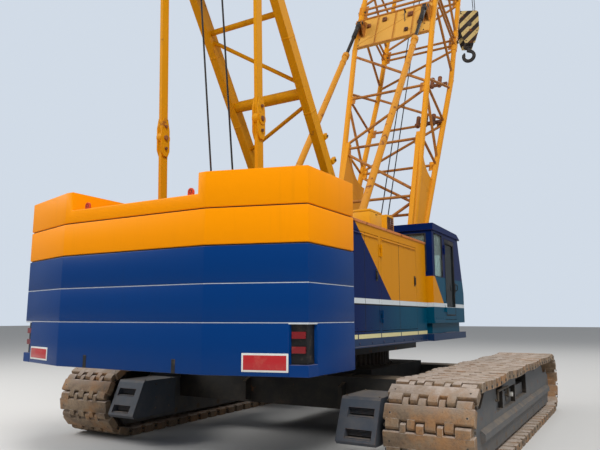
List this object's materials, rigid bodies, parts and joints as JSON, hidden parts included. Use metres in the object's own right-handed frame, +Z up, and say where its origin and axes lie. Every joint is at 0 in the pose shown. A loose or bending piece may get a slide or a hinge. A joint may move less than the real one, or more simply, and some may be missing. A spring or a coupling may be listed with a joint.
{
  "type": "crawler crane",
  "caption": "Crawler crane with a lattice boom, stepped counterweight, A-frame gantry, glazed side cab and a plumb hook block, standing on two shoe tracks",
  "frame": {"origin": "on the slewing axis at ground level, under the middle of the carbody", "axes": "+Y the way the crane and its boom face, +X the right side with the cab, +Z up"},
  "size_m": [6.72, 17.6099, 24.8461],
  "materials": {
    "dark_paint": "matt",
    "bare_steel": "worn",
    "frame_grey": "dusty",
    "cast_shoes": "dusty cast",
    "blue_paint": "semi gloss",
    "teal_paint": "semi gloss",
    "house_paint": "semi gloss",
    "orange_paint": "semi gloss",
    "boom_paint": "weathered",
    "link_paint": "weathered",
    "black_plastic": "matt",
    "red_lens": "gloss",
    "clear_glass": "clear",
    "seat_cloth": "woven",
    "stay_steel": "matt",
    "rope_steel": "greased",
    "block_paint": "striped"
  },
  "bodies": {
    "lower_works": {"carbody": "dark_paint", "slew_gear": "bare_steel", "track_frames": "frame_grey", "track_left": "cast_shoes", "track_right": "cast_shoes", "sprockets": "dark_paint", "idlers": "dark_paint", "rollers": "dark_paint", "travel_drives": "frame_grey"},
    "upper_works": {"revolving_frame": "blue_paint", "side_decks": "teal_paint", "engine": "dark_paint", "left_house": "house_paint", "right_house": "house_paint", "house_roofs": "house_paint", "counterweight_base": "blue_paint", "counterweight_slab_2": "blue_paint", "counterweight_slab_3": "blue_paint", "counterweight_slab_4": "orange_paint", "counterweight_slab_5": "orange_paint", "lamp_housings": "black_plastic", "tail_lamps": "red_lens", "roof_boxes": "orange_paint", "cab_shell": "teal_paint", "cab_glass": "clear_glass", "operator_seat": "seat_cloth", "gantry_legs": "boom_paint", "gantry_links": "link_paint"},
    "boom": {"boom_base": "boom_paint", "boom_insert": "boom_paint", "boom_tip": "boom_paint", "pendants": "stay_steel"},
    "left_door_rear": {"left_door_rear": "teal_paint"},
    "left_door_front": {"left_door_front": "teal_paint"},
    "right_door_rear": {"right_door_rear": "teal_paint"},
    "right_door_front": {"right_door_front": "teal_paint"},
    "cab_door": {"cab_door": "teal_paint", "cab_door_glass": "clear_glass"},
    "main_drum": {"main_drum": "bare_steel"},
    "boom_hoist_drum": {"boom_hoist_drum": "bare_steel"},
    "apex_sheaves": {"apex_sheaves": "bare_steel"},
    "backstop_tubes": {"backstop_tubes": "boom_paint"},
    "backstop_rods": {"backstop_rods": "stay_steel"},
    "head_sheaves": {"head_sheaves": "bare_steel"},
    "falls": {"hoist_falls": "rope_steel", "hook_block": "block_paint"},
    "hook": {"hook": "bare_steel"}
  },
  "joints": [
    {"name": "slew", "type": "hinge", "parent": "lower_works", "child": "upper_works", "pos_m": [0, 0, 1.3], "axis": [0, 0, 1], "continuous": true},
    {"name": "luff", "type": "hinge", "parent": "upper_works", "child": "boom", "pos_m": [0, 1.26, 1.99], "axis": [1, 0, 0], "range_deg": [-37.5, 14.5]},
    {"name": "backstop_swing", "type": "hinge", "parent": "upper_works", "child": "backstop_tubes", "pos_m": [0, -1.51, 2.95], "axis": [1, 0, 0], "range_deg": [-32.36, 12.7]},
    {"name": "backstop_slide", "type": "slide", "parent": "backstop_tubes", "child": "backstop_rods", "axis": [0, 0.5714, 0.8207], "range_m": [-0.719, 1.843]},
    {"name": "fall_hang", "type": "hinge", "parent": "boom", "child": "falls", "pos_m": [0, 11.3181, 24.23417], "axis": [1, 0, 0], "range_deg": [-15, 38]},
    {"name": "hook_swivel", "type": "hinge", "parent": "falls", "child": "hook", "pos_m": [0, 11.6174, 12.37417], "axis": [0, 0, 1], "continuous": true},
    {"name": "head_sheaves_turn", "type": "hinge", "parent": "boom", "child": "head_sheaves", "pos_m": [0, 11.3181, 24.23417], "axis": [1, 0, 0], "continuous": true},
    {"name": "apex_sheaves_turn", "type": "hinge", "parent": "upper_works", "child": "apex_sheaves", "pos_m": [0, -4.26, 7.7], "axis": [1, 0, 0], "continuous": true},
    {"name": "main_drum_turn", "type": "hinge", "parent": "upper_works", "child": "main_drum", "pos_m": [0, -1.35, 2.18], "axis": [1, 0, 0], "continuous": true},
    {"name": "boom_hoist_drum_turn", "type": "hinge", "parent": "upper_works", "child": "boom_hoist_drum", "pos_m": [0, -3.25, 2.14], "axis": [1, 0, 0], "continuous": true},
    {"name": "left_door_rear_hinge", "type": "hinge", "parent": "upper_works", "child": "left_door_rear", "pos_m": [-1.816, -3.96, 2.4], "axis": [0, 0, 1], "range_deg": [0, 100]},
    {"name": "left_door_front_hinge", "type": "hinge", "parent": "upper_works", "child": "left_door_front", "pos_m": [-1.816, -2.36, 2.4], "axis": [0, 0, 1], "range_deg": [0, 100]},
    {"name": "right_door_rear_hinge", "type": "hinge", "parent": "upper_works", "child": "right_door_rear", "pos_m": [1.816, -3.96, 2.4], "axis": [0, 0, -1], "range_deg": [0, 100]},
    {"name": "right_door_front_hinge", "type": "hinge", "parent": "upper_works", "child": "right_door_front", "pos_m": [1.816, -2.36, 2.4], "axis": [0, 0, -1], "range_deg": [0, 100]},
    {"name": "cab_door_hinge", "type": "hinge", "parent": "upper_works", "child": "cab_door", "pos_m": [1.936, 0.43, 2.6], "axis": [0, 0, -1], "range_deg": [0, 110]}
  ],
  "couplings": [
    {"joint": "backstop_swing", "follows": "luff", "ratio": 0.855},
    {"joint": "backstop_slide", "follows": "luff", "m_per_rad": -2.8},
    {"joint": "fall_hang", "follows": "luff", "ratio": -1}
  ]
}
